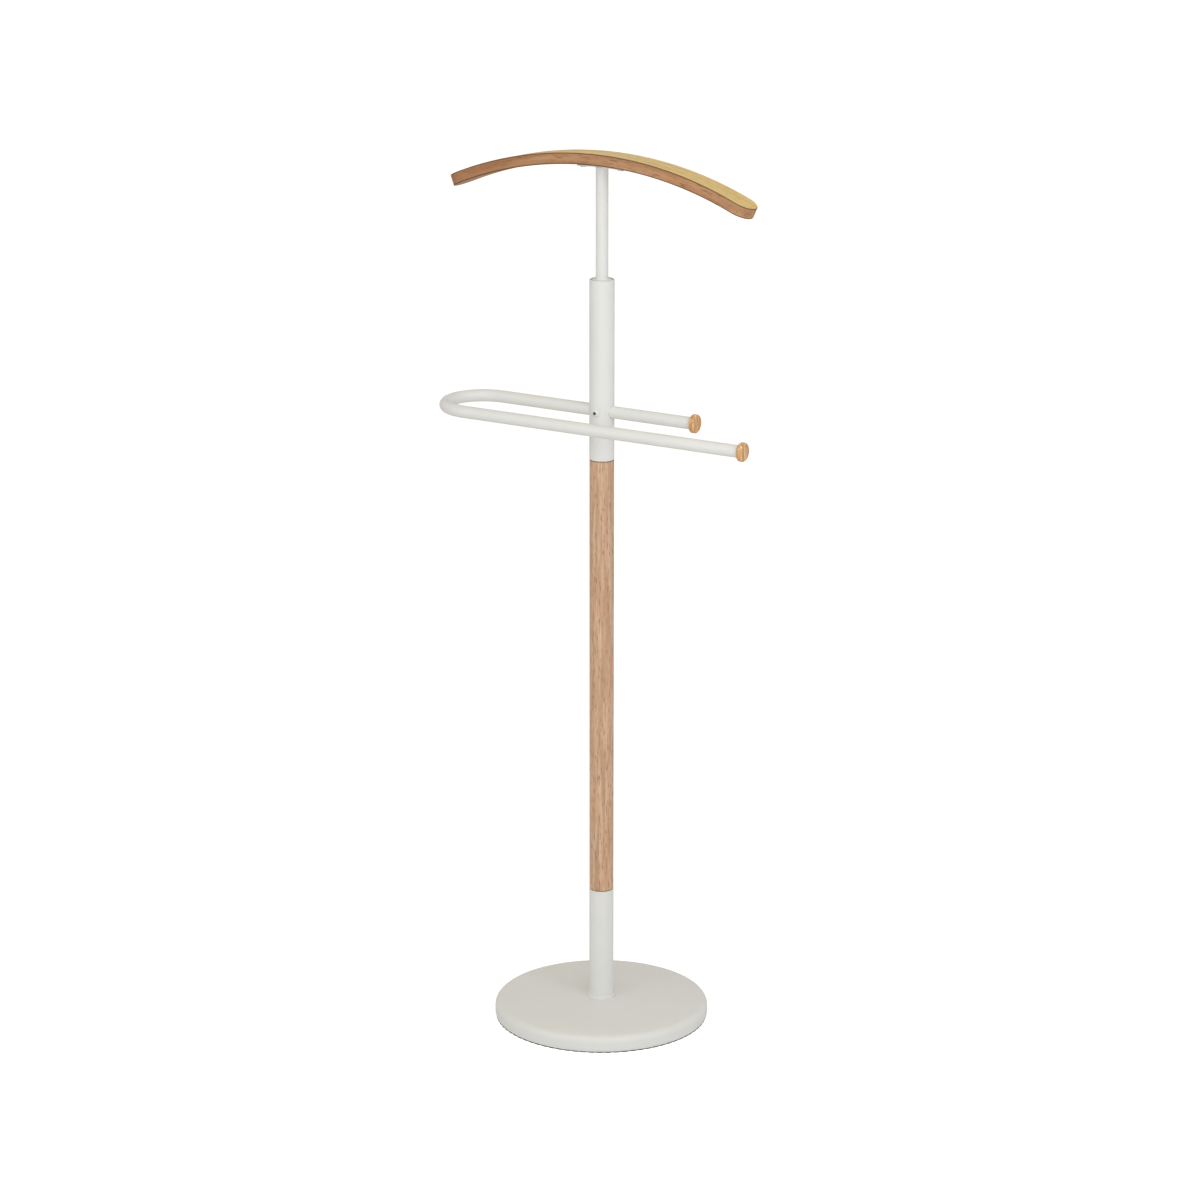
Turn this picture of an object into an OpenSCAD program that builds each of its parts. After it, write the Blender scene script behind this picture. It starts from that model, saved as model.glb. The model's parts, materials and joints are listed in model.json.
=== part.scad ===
// Valet stand: a weighted round base, a column of two steel tubes and a wooden pole,
// a U-shaped trouser bar with turned knobs, and a curved wooden hanger that turns on its rod.
// Millimetres. Z is up, the origin is the centre of the base on the floor, and X runs
// along the trouser bar towards the knobs. Threads are plain cylinders at nominal size.

/* [Base] */
// Outer diameter of the base
base_d = 280; // [240:5:320]
// Height of the base at its shoulder
base_h = 24; // [23:0.1:27]
// Extra height of the base at the column
base_rise = 0.8; // [0.4:0.1:2]
// Radius of the tight bend at the rim
rim_r = 9.5; // [5:0.5:9.5]
// Height of the upright side of the base
rim_side_h = 13; // [11:0.5:13]
// Width of the soft shoulder inside the rim
shoulder_w = 30; // [18:1:36]
// Sheet thickness of the base cover
cover_t = 1.2; // [0.8:0.1:1.6]
// Thickness of the anti-slip ring
slip_ring_t = 1.2; // [1:0.1:2]

/* [Column] */
// Outer diameter of the steel tubes
tube_d = 32; // [30:0.5:34]
// Wall of the steel tubes
tube_wall = 1.5; // [1:0.1:2]
// Diameter of the wooden pole
pole_d = 31.5; // [30:0.5:34]
// Length of the lower tube
lower_tube_l = 150.6; // [120:0.1:200]
// Length of the wooden pole
pole_l = 581; // [520:1:620]
// Length of the upper tube
upper_tube_l = 233; // [220:1:260]
// Outer diameter of the collar round the foot of the column
collar_d = 36.6; // [35.6:0.1:39]
// Height of the collar
collar_h = 4.4; // [3:0.1:6]

/* [Trouser bar] */
// Outer diameter of the bar
bar_d = 16; // [14:0.5:18]
// Wall of the bar
bar_wall = 1.2; // [1:0.1:1.5]
// Height of the bar above the bottom of the upper tube
bar_above_seam = 62.9; // [55:0.1:80]
// Distance between the two legs, centre to centre
bar_gap = 94.5; // [80:0.5:110]
// Length from the column to the start of the bend
bar_left_l = 148.7; // [120:0.1:170]
// Length of the back leg from the column to its knob
back_leg_l = 131; // [110:1:150]
// Length of the front leg from the column to its knob
front_leg_l = 250.5; // [200:0.5:260]
// Diameter of the knobs
knob_d = 24; // [22:0.2:28]
// Thickness of the knobs
knob_t = 8; // [7.2:0.2:12]
// Edge rounding of the knobs
knob_round = 2.4; // [1.6:0.1:3.5]

/* [Hanger] */
// Diameter of the hanger rod
rod_d = 16; // [15:0.5:18]
// Wall of the hanger rod
rod_wall = 1.5; // [1.2:0.1:2]
// Height of the top of the arm above the top of the upper tube
arm_above_tube = 160.4; // [140:0.1:200]
// Radius of the curved top of the arm
arm_r = 516; // [450:1:600]
// Thickness of the arm
arm_t = 14.6; // [12:0.2:18]
// Width of the arm from front to back
arm_w = 40.8; // [34:0.2:44]
// Angle from the middle of the arm to the centre of each round end
arm_angle = 22.8; // [20:0.1:26]
// Easing of the long edges of the arm
arm_ease = 1.2; // [0.5:0.1:2]
// Lean of the arm and its bracket towards the back, in degrees
arm_lean = 3.5; // [0:0.1:5]
// Length of the bracket under the arm
bracket_l = 64; // [60:1:80]
// Width of the bracket
bracket_w = 20; // [18:1:24]
// Thickness of the bracket
bracket_t = 3; // [2.5:0.5:5]
// Running clearance of the rod in its bush, on the radius
swivel_gap = 0.06; // [0.02:0.01:0.1]

/* [Hidden] */
$fn = 96;

paint = "#e3e3df";
beech = "#c89f78";
honey = "#d9a870";
zinc = "#b9bcc0";
iron = "#4b4d50";
black = "#1c1c1e";
nylon = "#e8e8e4";
brass = "#c2a35a";

// Radial slip of a part that is fixed in another
slip = 0.05;
// Overlap that keeps a cut from ending on a face
eps = 0.5;

// Heights up the column
base_r = base_d / 2;
seat_z = base_h + base_rise;
seat_r = 20;
lower_seam_z = seat_z + lower_tube_l;
upper_seam_z = lower_seam_z + pole_l;
tube_top_z = upper_seam_z + upper_tube_l;
bar_z = upper_seam_z + bar_above_seam;
arm_top_z = tube_top_z + arm_above_tube;
bracket_z = arm_top_z - arm_t - bracket_t;

// Rim of the base: it leans in a little below this height
rim_foot_z = 4.6;
rim_foot_r = base_r - 1.1;
// Shoulder arc that is tangent to the flat top and to the tight rim bend
shoulder_r = base_r - shoulder_w;
rim_c = [base_r - rim_r, rim_side_h];
arc_run = rim_c[0] - shoulder_r;
arc_drop = base_h - rim_side_h;
arc_r = (pow(arc_run, 2) + pow(arc_drop, 2) - pow(rim_r, 2)) / (2 * (arc_drop - rim_r));
arc_c = [shoulder_r, base_h - arc_r];
join_angle = atan2(rim_c[1] - arc_c[1], rim_c[0] - arc_c[0]);

// Weight and its clamping bolt, M8
weight_r = base_r - 3.5;
weight_top_z = 13;
hub_r = 30;
m8_r = 4;
washer_t = 1.6;
washer_r = 12;
bolt_head_h = 5.3;
bolt_head_r = 7.5;
recess_r = 13.5;
recess_z = 10.5;
foot_plug_l = 16;

// Joint between a tube and the pole: plug, stud and threaded insert
tube_r = tube_d / 2;
tube_ir = tube_r - tube_wall;
pole_r = pole_d / 2;
joint_plug_l = 15;
stud_half_l = 32;
insert_r = 6;
insert_l = 22;

// Trouser bar and its M6 button-head screw
bar_r = bar_d / 2;
bar_ir = bar_r - bar_wall;
bend_r = bar_gap / 2;
m6_r = 3;
nut_r = 4.4;
nut_flange_r = 5.6;
nut_flange_t = 0.8;
nut_l = 9;
screw_head_r = 5.2;
screw_head_h = 3.1;
screw_tip_y = -1.5;
hex_4 = 2.31;
hex_depth = 1.9;
bar_plug_l = 16;
m5_r = 2.5;
knob_screw_in = 5.6;

// Swivel: the rod turns in a nylon bush, between a thrust ring and a clip
rod_r = rod_d / 2;
bush_top_z = tube_top_z - 2;
bush_l = 56;
bush_bottom_z = bush_top_z - bush_l;
ring_r = 12;
ring_t = 1.8;
end_play = 0.15;
clip_r = 11;
clip_t = 1.2;
groove_r = rod_r - 0.7;
clip_top_z = bush_bottom_z - end_play;
rod_foot_z = clip_top_z - clip_t - 5;

// Bracket screws, M5 pan head
screw_pitch = 54;
pan_r = 4.2;
pan_h = 2;
pan_screw_l = 9;
slot_w = 1.1;
slot_d = 1.1;
arm_c_z = arm_top_z - arm_r;
under_r = arm_r - arm_t;
// Extra radius of the round ends, so that they meet the sides at a clear angle
end_over = 0.4;

function arc(c, r, a0, a1, n) = [for (i = [0:n]) let (a = a0 + (a1 - a0) * i / n) c + r * [cos(a), sin(a)]];

// Outline of the cover from the rim's foot up and in to the seat, t inside the outer skin
function cover_line(t) = concat(
    [[rim_foot_r - t, slip_ring_t]],
    [[base_r - t, rim_foot_z]],
    arc(rim_c, rim_r - t, 0, join_angle, 6),
    arc(arc_c, arc_r - t, join_angle, 90, 10),
    [[seat_r, seat_z - t]]);

function reversed(list) = [for (i = [len(list) - 1:-1:0]) list[i]];

module tube(r_out, r_in, h) {
    difference() {
        cylinder(r = r_out, h = h);
        translate([0, 0, -eps]) cylinder(r = r_in, h = h + 2 * eps);
    }
}

// Lays what is drawn along Z down along X
module along_x() {
    rotate([0, 90, 0]) children();
}

// Stands its children at an angle along the curve of the arm, drawn at the arc's centre
module on_arc(angle) {
    translate([0, 0, arm_c_z]) rotate([0, angle, 0]) children();
}

// Leans its children back about the middle of the rod's top end
module lean() {
    translate([0, 0, bracket_z]) rotate([-arm_lean, 0, 0]) translate([0, 0, -bracket_z]) children();
}

// Bends a section round the arm's centre, half_angle to each side of the middle
module arc_slab(half_angle) {
    translate([0, 0, arm_c_z]) rotate([90, 0, 0]) rotate([0, 0, 90 - half_angle])
        rotate_extrude(angle = 2 * half_angle, $fn = 360) children();
}

/* Base */
module base_cover() {
    color(paint) difference() {
        rotate_extrude($fn = 180) polygon(concat(
            cover_line(0), [[0, seat_z], [0, seat_z - cover_t]], reversed(cover_line(cover_t))));
        translate([0, 0, seat_z - 5]) cylinder(r = m8_r + 0.4, h = 10);
    }
}

module base_weight() {
    color(iron) difference() {
        union() {
            translate([0, 0, slip_ring_t]) cylinder(r = weight_r, h = weight_top_z - slip_ring_t, $fn = 180);
            translate([0, 0, slip_ring_t]) cylinder(r = hub_r, h = seat_z - cover_t - 0.2 - slip_ring_t);
        }
        translate([0, 0, -eps]) cylinder(r = m8_r + 0.3, h = seat_z);
        translate([0, 0, -eps]) cylinder(r = recess_r, h = recess_z + eps);
    }
}

module anti_slip_ring() {
    color(black) tube(rim_foot_r, base_r - 40, slip_ring_t, $fn = 180);
}

module base_bolt() {
    color(zinc) union() {
        translate([0, 0, recess_z - washer_t - bolt_head_h]) cylinder(r = bolt_head_r, h = bolt_head_h, $fn = 6);
        translate([0, 0, recess_z - washer_t - 1]) cylinder(r = m8_r, h = seat_z + foot_plug_l - recess_z + 4);
    }
}

module base_washer() {
    color(zinc) translate([0, 0, recess_z - washer_t]) tube(washer_r, m8_r + slip, washer_t);
}

module foot_collar() {
    collar_r = collar_d / 2;
    lip = 1.6;
    color(nylon) translate([0, 0, seat_z]) difference() {
        rotate_extrude() union() {
            square([collar_r, collar_h - lip]);
            square([collar_r - lip, collar_h]);
            translate([collar_r - lip, collar_h - lip]) circle(r = lip, $fn = 32);
        }
        translate([0, 0, -eps]) cylinder(r = tube_r + slip, h = collar_h + 2 * eps);
    }
}

/* Column */
module threaded_plug(r, l, thread_r) {
    color(zinc) tube(r - slip, thread_r + slip, l);
}

module foot_plug() {
    translate([0, 0, seat_z]) threaded_plug(tube_ir, foot_plug_l, m8_r);
}

module lower_tube() {
    color(paint) translate([0, 0, seat_z]) tube(tube_r, tube_ir, lower_tube_l);
}

module lower_tube_plug() {
    translate([0, 0, lower_seam_z - joint_plug_l]) threaded_plug(tube_ir, joint_plug_l, m8_r);
}

module stud(z) {
    color(zinc) translate([0, 0, z - stud_half_l]) cylinder(r = m8_r, h = 2 * stud_half_l);
}

module lower_stud() { stud(lower_seam_z); }

module pole_insert(z) {
    color(brass) translate([0, 0, z]) tube(insert_r, m8_r + slip, insert_l);
}

module pole_insert_lower() { pole_insert(lower_seam_z); }

// Stepped blind hole in one end of the pole: the insert's seat, then room for the stud's tip
module pole_socket() {
    translate([0, 0, -eps]) cylinder(r = insert_r + slip, h = insert_l + slip + eps);
    cylinder(r = m8_r + 0.3, h = stud_half_l + 3);
}

module wood_pole() {
    color(beech) difference() {
        translate([0, 0, lower_seam_z]) cylinder(r = pole_r, h = pole_l);
        translate([0, 0, lower_seam_z]) pole_socket();
        translate([0, 0, upper_seam_z]) mirror([0, 0, 1]) pole_socket();
    }
}

module pole_insert_upper() { pole_insert(upper_seam_z - insert_l); }

module upper_stud() { stud(upper_seam_z); }

module upper_tube_plug() {
    translate([0, 0, upper_seam_z]) threaded_plug(tube_ir, joint_plug_l, m8_r);
}

module upper_tube() {
    color(paint) difference() {
        translate([0, 0, upper_seam_z]) tube(tube_r, tube_ir, upper_tube_l);
        translate([-tube_d, 0, bar_z]) along_x() cylinder(r = bar_r + slip, h = 2 * tube_d);
        translate([0, 0, bar_z]) rotate([90, 0, 0]) cylinder(r = m6_r + 0.2, h = tube_d);
    }
}

/* Trouser bar */
// Path of the bar swept with radius r, its open ends run past by over
module bar_sweep(r, over) {
    translate([-bar_left_l, 0, bar_z]) along_x() cylinder(r = r, h = bar_left_l + back_leg_l + over);
    translate([-bar_left_l, -bar_gap, bar_z]) along_x() cylinder(r = r, h = bar_left_l + front_leg_l + over);
    translate([-bar_left_l, -bend_r, bar_z]) rotate([0, 0, 90])
        rotate_extrude(angle = 180) translate([bend_r, 0]) circle(r = r);
}

module trouser_bar() {
    color(paint) difference() {
        bar_sweep(bar_r, 0);
        bar_sweep(bar_ir, eps);
        translate([0, 0, bar_z]) rotate([90, 0, 0]) cylinder(r = nut_r + slip, h = bar_d);
    }
}

module bar_rivet_nut() {
    color(zinc) translate([0, 0, bar_z]) rotate([90, 0, 0]) difference() {
        union() {
            translate([0, 0, bar_r - nut_l]) cylinder(r = nut_r, h = nut_l);
            translate([0, 0, bar_r]) cylinder(r = nut_flange_r, h = nut_flange_t);
        }
        translate([0, 0, bar_r - nut_l - eps]) cylinder(r = m6_r + slip, h = nut_l + 2);
    }
}

// Button head: a dome on a short rim, with a hex socket
module bar_screw() {
    dome_r = (pow(screw_head_r, 2) + pow(screw_head_h, 2)) / (2 * screw_head_h);
    color(paint) translate([0, 0, bar_z]) rotate([90, 0, 0]) difference() {
        union() {
            translate([0, 0, -screw_tip_y]) cylinder(r = m6_r, h = tube_r + screw_tip_y + 0.6);
            intersection() {
                translate([0, 0, tube_r + screw_head_h - dome_r]) sphere(r = dome_r);
                translate([0, 0, tube_r]) cylinder(r = screw_head_r, h = screw_head_h);
            }
        }
        translate([0, 0, tube_r + screw_head_h - hex_depth]) cylinder(r = hex_4, h = hex_depth + 1, $fn = 6);
    }
}

module bar_plug(x, y) {
    translate([x - bar_plug_l, y, bar_z]) along_x() threaded_plug(bar_ir, bar_plug_l, m5_r);
}

module bar_plug_back() { bar_plug(back_leg_l, 0); }
module bar_plug_front() { bar_plug(front_leg_l, -bar_gap); }

module knob_screw(x, y) {
    color(zinc) translate([x - bar_plug_l + 2, y, bar_z]) along_x()
        cylinder(r = m5_r, h = bar_plug_l - 2 + knob_screw_in);
}

module knob_screw_back() { knob_screw(back_leg_l, 0); }
module knob_screw_front() { knob_screw(front_leg_l, -bar_gap); }

// Turned disc with rounded edges and a blind hole for its screw
module knob(x, y) {
    knob_r = knob_d / 2;
    color(honey) translate([x, y, bar_z]) along_x() difference() {
        rotate_extrude() intersection() {
            union() {
                translate([0, knob_round]) square([knob_r, knob_t - 2 * knob_round]);
                square([knob_r - knob_round, knob_t]);
                for (h = [knob_round, knob_t - knob_round])
                    translate([knob_r - knob_round, h]) circle(r = knob_round, $fn = 48);
            }
            square([knob_r, knob_t]);
        }
        translate([0, 0, -eps]) cylinder(r = m5_r + slip, h = knob_screw_in + 0.4 + eps);
    }
}

module knob_back() { knob(back_leg_l, 0); }
module knob_front() { knob(front_leg_l, -bar_gap); }

/* Hanger */
module top_bush() {
    color(nylon) translate([0, 0, bush_bottom_z]) tube(tube_ir - slip, rod_r + swivel_gap, bush_l);
}

module hanger_rod() {
    color(paint) difference() {
        translate([0, 0, rod_foot_z]) tube(rod_r, rod_r - rod_wall, bracket_z + 2 - rod_foot_z);
        lean() translate([-20, -20, bracket_z]) cube([40, 40, 20]);
        translate([0, 0, clip_top_z - clip_t]) tube(rod_r + 1, groove_r, clip_t);
    }
}

module rod_thrust_ring() {
    color(paint) translate([0, 0, bush_top_z + end_play]) tube(ring_r, rod_r, ring_t);
}

module rod_clip() {
    color(zinc) translate([0, 0, clip_top_z - clip_t]) tube(clip_r, groove_r, clip_t);
}

module hanger_bracket() {
    half = asin(bracket_l / 2 / under_r);
    color(paint) lean() difference() {
        arc_slab(half) translate([under_r - bracket_t, -bracket_w / 2]) square([bracket_t, bracket_w]);
        for (side = [-1, 1]) on_arc(side * asin(screw_pitch / 2 / under_r))
            translate([0, 0, under_r - bracket_t - 1]) cylinder(r = m5_r + 0.2, h = bracket_t + 2);
    }
}

module bracket_screws() {
    color(zinc) lean() for (side = [-1, 1]) on_arc(side * asin(screw_pitch / 2 / under_r))
        translate([0, 0, under_r - bracket_t]) difference() {
            union() {
                cylinder(r = m5_r, h = bracket_t + pan_screw_l);
                translate([0, 0, -pan_h]) cylinder(r1 = pan_r - 0.9, r2 = pan_r, h = 0.9);
                translate([0, 0, -pan_h + 0.9]) cylinder(r = pan_r, h = pan_h - 0.9);
            }
            translate([-pan_r, -slot_w / 2, -pan_h - 1]) cube([2 * pan_r, slot_w, slot_d + 1]);
            translate([-slot_w / 2, -pan_r, -pan_h - 1]) cube([slot_w, 2 * pan_r, slot_d + 1]);
        }
}

// Section of the arm: a slab with its long edges eased
module arm_section() {
    inner_r = under_r;
    outer_r = arm_r;
    side = arm_w / 2;
    polygon([
        [inner_r + arm_ease, -side], [outer_r - arm_ease, -side], [outer_r, arm_ease - side],
        [outer_r, side - arm_ease], [outer_r - arm_ease, side], [inner_r + arm_ease, side],
        [inner_r, side - arm_ease], [inner_r, arm_ease - side]]);
}

// What is cut away outside a round end, for the end that points along X
module end_cutter() {
    translate([0, 0, under_r - 10]) difference() {
        translate([0, -arm_w, 0]) cube([2 * arm_w, 2 * arm_w, arm_t + 20]);
        translate([0, 0, -eps]) cylinder(r = arm_w / 2 + end_over, h = arm_t + 21);
    }
}

module hanger_arm() {
    color(beech) lean() difference() {
        arc_slab(arm_angle + 4) arm_section();
        on_arc(arm_angle) end_cutter();
        on_arc(-arm_angle) mirror([1, 0, 0]) end_cutter();
        for (side = [-1, 1]) on_arc(side * asin(screw_pitch / 2 / under_r))
            translate([0, 0, under_r - eps]) cylinder(r = m5_r + slip, h = pan_screw_l + 1 + eps);
    }
}

base_cover();
base_weight();
anti_slip_ring();
base_bolt();
base_washer();
foot_collar();
foot_plug();
lower_tube();
lower_tube_plug();
lower_stud();
pole_insert_lower();
wood_pole();
pole_insert_upper();
upper_stud();
upper_tube_plug();
upper_tube();
trouser_bar();
bar_rivet_nut();
bar_screw();
bar_plug_back();
bar_plug_front();
knob_screw_back();
knob_screw_front();
knob_back();
knob_front();
top_bush();
hanger_rod();
rod_thrust_ring();
rod_clip();
hanger_bracket();
bracket_screws();
hanger_arm();
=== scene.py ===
# %% [markdown]
# # A valet stand in steel and beech
# A valet stand holds a day's clothes: a jacket on the curved arm, trousers over the bar.
# The CAD model already settles every size, fit and joint, so it is loaded first as a fixed frame.
# What follows gives each visible piece the surface that the real one has: rolled edges, eased wood,
# punched holes and a finish built from nodes.

# %% Load the frame
import json
from math import asin, atan2, ceil, cos, degrees, pi, radians, sin, tan

import bmesh
import bpy
from mathutils import Matrix, Vector

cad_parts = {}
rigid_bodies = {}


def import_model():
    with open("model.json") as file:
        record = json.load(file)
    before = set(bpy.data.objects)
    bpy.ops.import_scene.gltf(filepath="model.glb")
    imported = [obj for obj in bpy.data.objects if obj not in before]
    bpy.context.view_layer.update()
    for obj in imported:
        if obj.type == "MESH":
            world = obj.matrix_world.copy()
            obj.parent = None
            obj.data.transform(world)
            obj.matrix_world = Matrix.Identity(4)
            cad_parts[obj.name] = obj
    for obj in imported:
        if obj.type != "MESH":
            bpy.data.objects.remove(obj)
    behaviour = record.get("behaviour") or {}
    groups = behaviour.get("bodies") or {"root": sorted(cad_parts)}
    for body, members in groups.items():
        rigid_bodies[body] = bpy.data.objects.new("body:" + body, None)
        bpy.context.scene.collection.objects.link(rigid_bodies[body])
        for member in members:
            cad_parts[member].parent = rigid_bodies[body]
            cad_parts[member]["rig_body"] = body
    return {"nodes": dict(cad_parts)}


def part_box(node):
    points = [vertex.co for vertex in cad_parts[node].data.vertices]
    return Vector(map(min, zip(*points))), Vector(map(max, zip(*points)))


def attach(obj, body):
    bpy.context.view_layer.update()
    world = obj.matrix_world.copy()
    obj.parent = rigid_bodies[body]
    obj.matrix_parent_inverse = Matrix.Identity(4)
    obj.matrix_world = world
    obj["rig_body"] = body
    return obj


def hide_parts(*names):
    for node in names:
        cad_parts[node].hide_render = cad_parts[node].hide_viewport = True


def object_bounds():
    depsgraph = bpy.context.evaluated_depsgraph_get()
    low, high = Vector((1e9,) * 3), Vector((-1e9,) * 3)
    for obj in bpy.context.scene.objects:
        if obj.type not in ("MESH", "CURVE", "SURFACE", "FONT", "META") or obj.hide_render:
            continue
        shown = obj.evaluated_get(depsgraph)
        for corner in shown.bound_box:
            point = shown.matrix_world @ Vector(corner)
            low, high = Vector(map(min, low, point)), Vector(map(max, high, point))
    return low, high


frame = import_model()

cad_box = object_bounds()
print("CAD box in metres:", [round(x, 4) for corner in cad_box for x in corner])

# %% [markdown]
# Workshop drawings are in millimetres and Blender works in metres. Outlines below are written in
# millimetres, as a maker would note them, and one factor turns them into metres.
# Every place comes from the frame: `box_mm` reads a CAD node's two corners.

# %% Millimetres from the frame
MM = 0.001


def box_mm(node):
    """The lowest and highest corner of a CAD node, in millimetres."""
    low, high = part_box(node)
    return low / MM, high / MM


base_low, base_high = box_mm("base_cover")
tube_low, tube_high = box_mm("upper_tube")
print("base is", round(base_high.x - base_low.x), "mm wide")
print("upper tube is", round(tube_high.x - tube_low.x), "mm wide")

# %% [markdown]
# ## Camera
# The stand is tall and thin. A long lens from about five metres keeps its column upright and its
# round base only gently flattened, as in a shop catalogue. The camera stands to the right of the
# front and about a metre above the top of the stand, and looks down at it.

# %% Place the camera
camera = bpy.data.objects.new("camera", bpy.data.cameras.new("long_lens"))
bpy.context.scene.collection.objects.link(camera)
bpy.context.scene.camera = camera
camera.data.lens = 125.45
camera.data.sensor_width = 36
standpoint = (2.6097, -4.4417, 2.0918)
turn, tilt, roll = radians(30.4605), radians(73.532), radians(0.046)
camera.matrix_world = (
    Matrix.Translation(standpoint)
    @ Matrix.Rotation(turn, 4, "Z") @ Matrix.Rotation(tilt, 4, "X") @ Matrix.Rotation(roll, 4, "Z")
)
print("camera looks down by", round(90 - degrees(tilt), 1), "degrees")

# %% [markdown]
# ## Colours and nodes
# Colours are picked as sRGB hex codes, as a paint chart gives them, but shaders add up light and
# so need linear values. `linear` is the only place where that change is made.
# A material here is a small graph. `add` puts one node in a graph, sets it up and plugs in its
# inputs, so a material reads from top to bottom like a recipe.

# %% Helpers for colours and node graphs
def linear(code):
    """An sRGB colour such as "#c8a078" as the linear RGBA that shaders work with."""
    channels = [int(code[i:i + 2], 16) / 255 for i in (1, 3, 5)]
    return [c / 12.92 if c <= 0.04045 else ((c + 0.055) / 1.055) ** 2.4 for c in channels] + [1.0]


def add(tree, kind, inputs, **settings):
    """Adds a shader node. Each input is given a number, a colour or another node's socket."""
    node = tree.nodes.new("ShaderNode" + kind)
    for name, value in settings.items():
        setattr(node, name, value)
    for name, value in inputs.items():
        if isinstance(value, bpy.types.NodeSocket):
            tree.links.new(value, node.inputs[name])
        else:
            node.inputs[name].default_value = value
    return node


# %% [markdown]
# ## The room
# The stand is shown in a bright white studio: pale walls all round, a slightly dimmer and warmer
# ceiling, and a white floor. A world shader does the walls and ceiling. It fades from one colour to
# the other by the height of the direction that is looked up, which costs nothing to render and
# leaves no visible edges.

# %% Walls and ceiling
world = bpy.data.worlds.new("white_studio")
world.use_nodes = True
bpy.context.scene.world = world
room = world.node_tree
room.nodes.clear()
direction = add(room, "TexCoord", {})
height = add(room, "SeparateXYZ", {"Vector": direction.outputs["Generated"]})
upwards = add(room, "MapRange", {"Value": height.outputs["Z"], "From Min": 0.05, "From Max": 0.9},
              interpolation_type="SMOOTHSTEP")
tone = add(room, "MixRGB", {"Fac": upwards.outputs["Result"],
                            "Color1": linear("#f2f5ff"), "Color2": linear("#c7bca4")})
walls = add(room, "Background", {"Color": tone.outputs["Color"], "Strength": 0.85})
add(room, "OutputWorld", {"Surface": walls.outputs["Background"]})
bpy.context.scene.view_settings.view_transform = "Standard"
print("walls and ceiling made of", len(room.nodes), "nodes")

# %% [markdown]
# The floor is one large pale sheet. In a studio a white floor is lit on its own, so that it comes
# out white without flooding the object with light from below. The same is done here: the floor
# glows a little where the camera sees it directly, and only reflects light otherwise.

# %% Floor
floor_mesh = bpy.data.meshes.new("floor")
reach = 40
corners = [(-reach, -reach), (reach, -reach), (reach, reach), (-reach, reach)]
floor_mesh.from_pydata([(x, y, cad_box[0].z) for x, y in corners], [], [(0, 1, 2, 3)])
floor = bpy.data.objects.new("floor", floor_mesh)
bpy.context.scene.collection.objects.link(floor)

floor_white = bpy.data.materials.new("white_studio_floor")
floor_white.use_nodes = True
graph = floor_white.node_tree
graph.nodes.clear()
seen = add(graph, "LightPath", {})
glow = add(graph, "Math", {0: seen.outputs["Is Camera Ray"], 1: 0.62}, operation="MULTIPLY")
light = add(graph, "Emission", {"Color": linear("#ffffff"), "Strength": glow.outputs["Value"]})
matt = add(graph, "BsdfDiffuse", {"Color": linear("#f1f1f1")})
both = add(graph, "AddShader", {0: light.outputs["Emission"], 1: matt.outputs["BSDF"]})
add(graph, "OutputMaterial", {"Surface": both.outputs["Shader"]})
floor_mesh.materials.append(floor_white)
print("floor reaches", reach, "m each way")

# %% [markdown]
# Four softboxes face the upper column. The key stands on the right and makes the right side of
# each tube a little brighter. A fill on the left keeps the other side open. A near panel beside
# the camera makes the top of the stand brighter than its foot, as light from a panel so close
# fades quickly with distance. A high panel draws the soft bright band on the shoulder of the base.

# %% Softboxes
aim = Vector((0, 0, 0.9))


def softbox(name, azimuth, elevation, distance, size, watts, colour):
    """A square panel light that faces the upper column. Azimuth 0 is the front, 90 the right."""
    lamp = bpy.data.lights.new(name, "AREA")
    lamp.size, lamp.energy, lamp.color = size, watts, linear(colour)[:3]
    panel = bpy.data.objects.new(name, lamp)
    bpy.context.scene.collection.objects.link(panel)
    a, e = radians(azimuth), radians(elevation)
    away = Vector((sin(a) * cos(e), -cos(a) * cos(e), sin(e)))
    panel.location = aim + away * distance
    panel.rotation_euler = away.to_track_quat("Z", "Y").to_euler()
    print(name, "at", [round(x, 2) for x in panel.location])


softbox("key_softbox", azimuth=70, elevation=24, distance=2.2, size=1.1, watts=10.5,
        colour="#e8f1ff")
softbox("fill_softbox", azimuth=-20, elevation=20, distance=3.0, size=1.4, watts=10,
        colour="#f6f8ff")
softbox("near_softbox", azimuth=35, elevation=8, distance=1.7, size=0.9, watts=4.5,
        colour="#fffffa")
softbox("top_softbox", azimuth=20, elevation=60, distance=2.5, size=1.2, watts=9,
        colour="#ffffff")

# %% [markdown]
# ## Painted steel
# The base, the tubes, the bar and the bracket are steel with a satin white powder coat: dry powder
# is sprayed on, held by charge, and melted in an oven. It flows into a thick even skin with a very
# fine orange peel, softer than wet paint, so its highlights are wide and quiet. Polyester powder
# has an IOR near 1.5. The real peel repeats about every 1.5 mm and is only microns deep.

# %% Powder coat
finishes = {}


def new_finish(slot, name):
    """An empty material, kept under its slot's name. Gives its graph and its shader."""
    material = bpy.data.materials.new(name)
    material.use_nodes = True
    finishes[slot] = material
    print("finish", name, "for slot", slot)
    return material.node_tree, material.node_tree.nodes["Principled BSDF"]


def plug(graph, source, shader, name):
    """Leads a socket into one of the shader's inputs."""
    graph.links.new(source, shader.inputs[name])


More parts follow.
